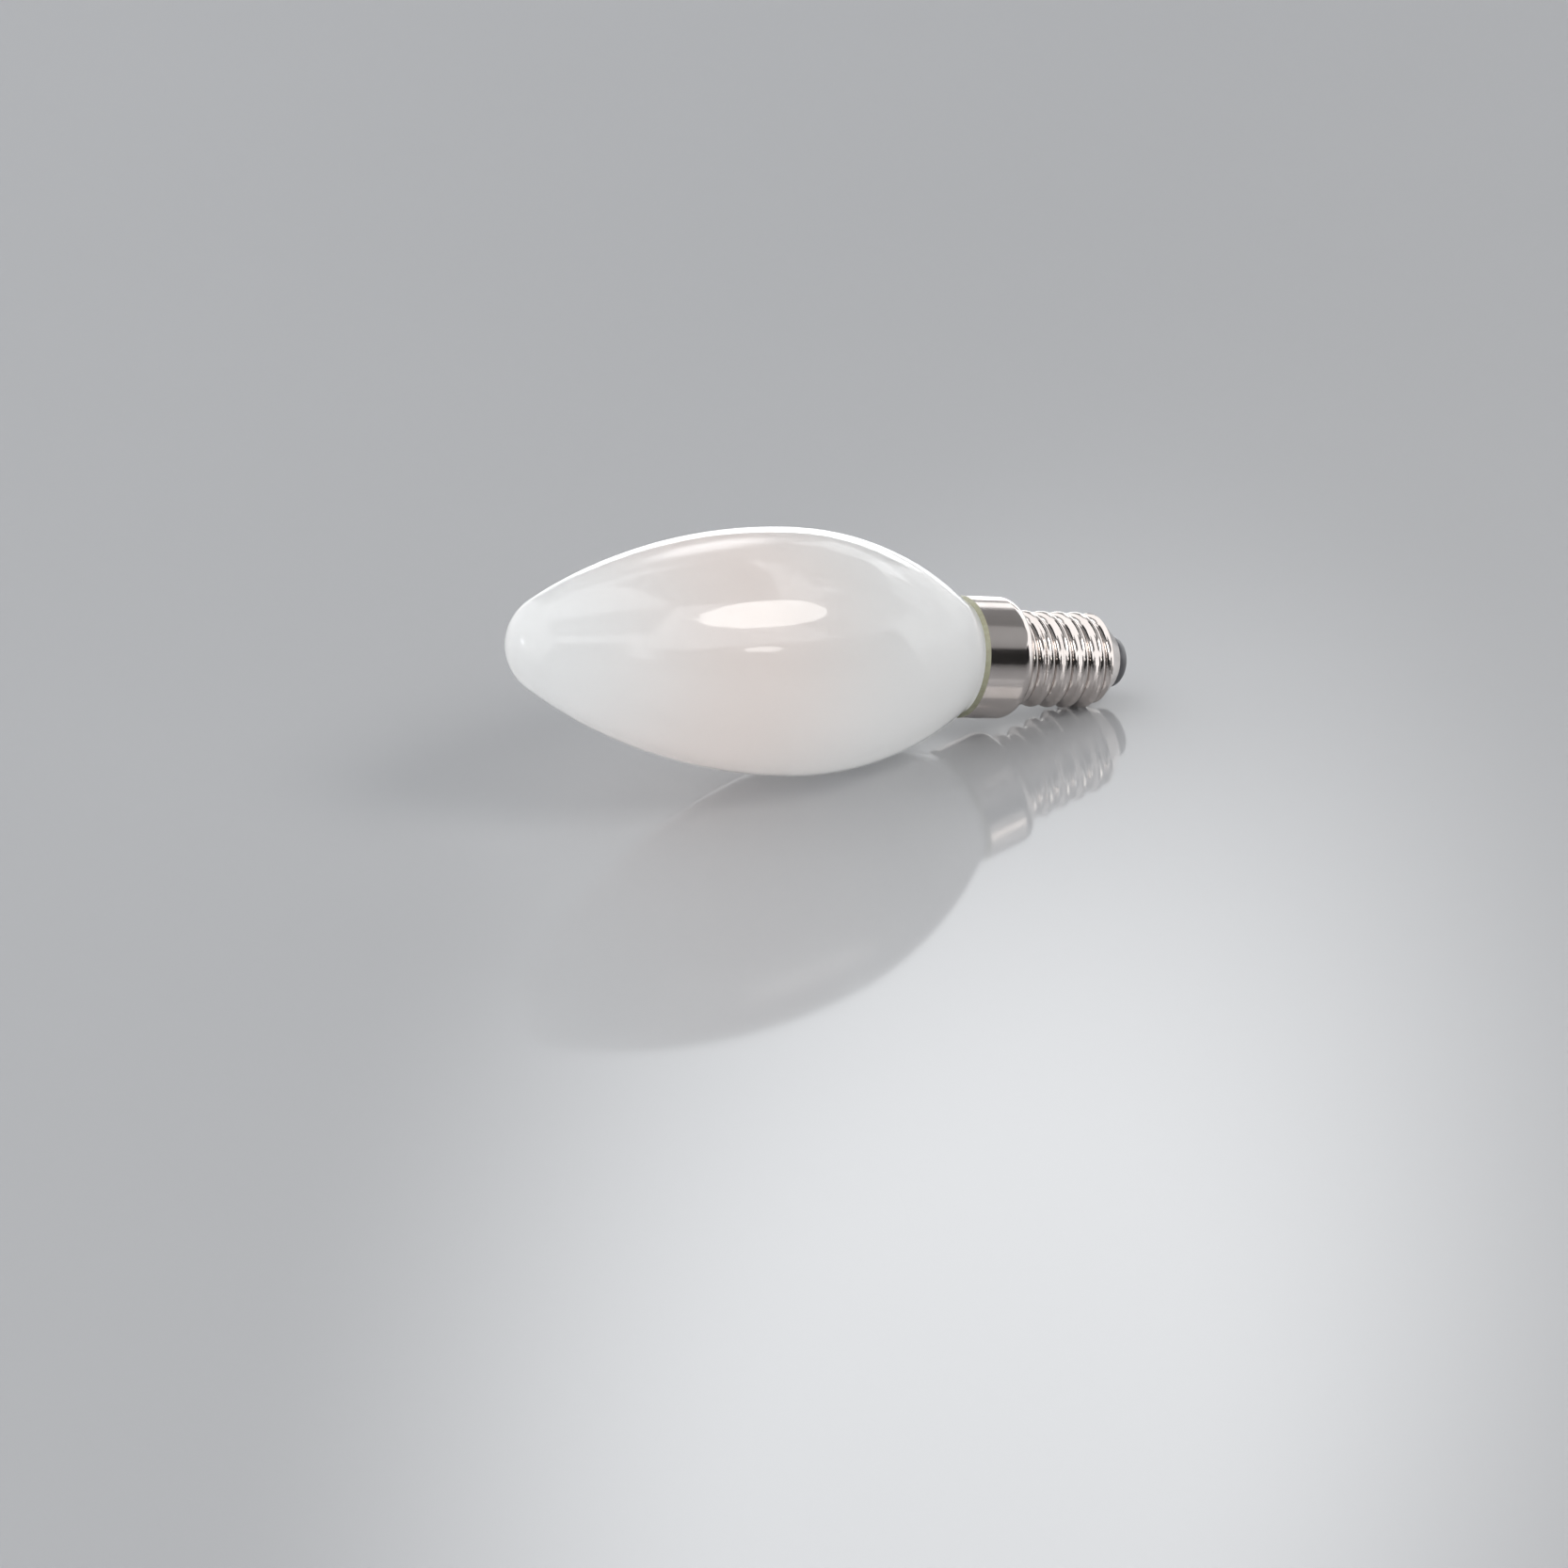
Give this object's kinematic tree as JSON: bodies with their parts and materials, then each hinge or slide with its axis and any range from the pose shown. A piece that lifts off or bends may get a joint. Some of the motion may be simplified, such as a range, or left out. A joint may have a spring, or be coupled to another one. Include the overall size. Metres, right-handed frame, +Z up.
{
  "type": "candle bulb",
  "caption": "Frosted candle-shaped lamp with a smooth-skirted metal screw cap, lying at rest on its glass and its thread.",
  "frame": {"origin": "centre of the bounding box, on the surface that the lamp lies on", "axes": "+Z up; the lamp lies in the XZ plane with its tip towards -X and raised, and its cap towards +X; +Y across"},
  "size_m": [0.097, 0.035, 0.0375],
  "materials": {
    "frosted_glass": "white frosting inside, smooth gloss outside",
    "cement": "dull olive basing cement",
    "cap_metal": "bright nickel plating on drawn sheet",
    "dark_insulator": "dark vitreous insulator",
    "contact_metal": "nickel plated contact",
    "sleeve_plastic": "thin insulating film",
    "circuit_board": "white solder mask",
    "moulded_black": "moulded package",
    "capacitor_can": "sleeved aluminium can",
    "resistor_coat": "cement-coated resistor",
    "bare_wire": "tinned wire"
  },
  "bodies": {
    "root": {"glass_bulb": "frosted_glass", "basing_cement": "cement", "cap_shell": "cap_metal", "end_insulator": "dark_insulator", "centre_contact": "contact_metal", "insulating_sleeve": "sleeve_plastic", "driver_board": "circuit_board", "bridge_rectifier": "moulded_black", "driver_chip": "moulded_black", "sense_resistor": "moulded_black", "smoothing_capacitor": "capacitor_can", "fusible_resistor": "resistor_coat", "lead_in_wire_1": "bare_wire", "lead_in_wire_2": "bare_wire", "live_wire": "bare_wire", "neutral_wire": "bare_wire"}
  },
  "joints": []
}
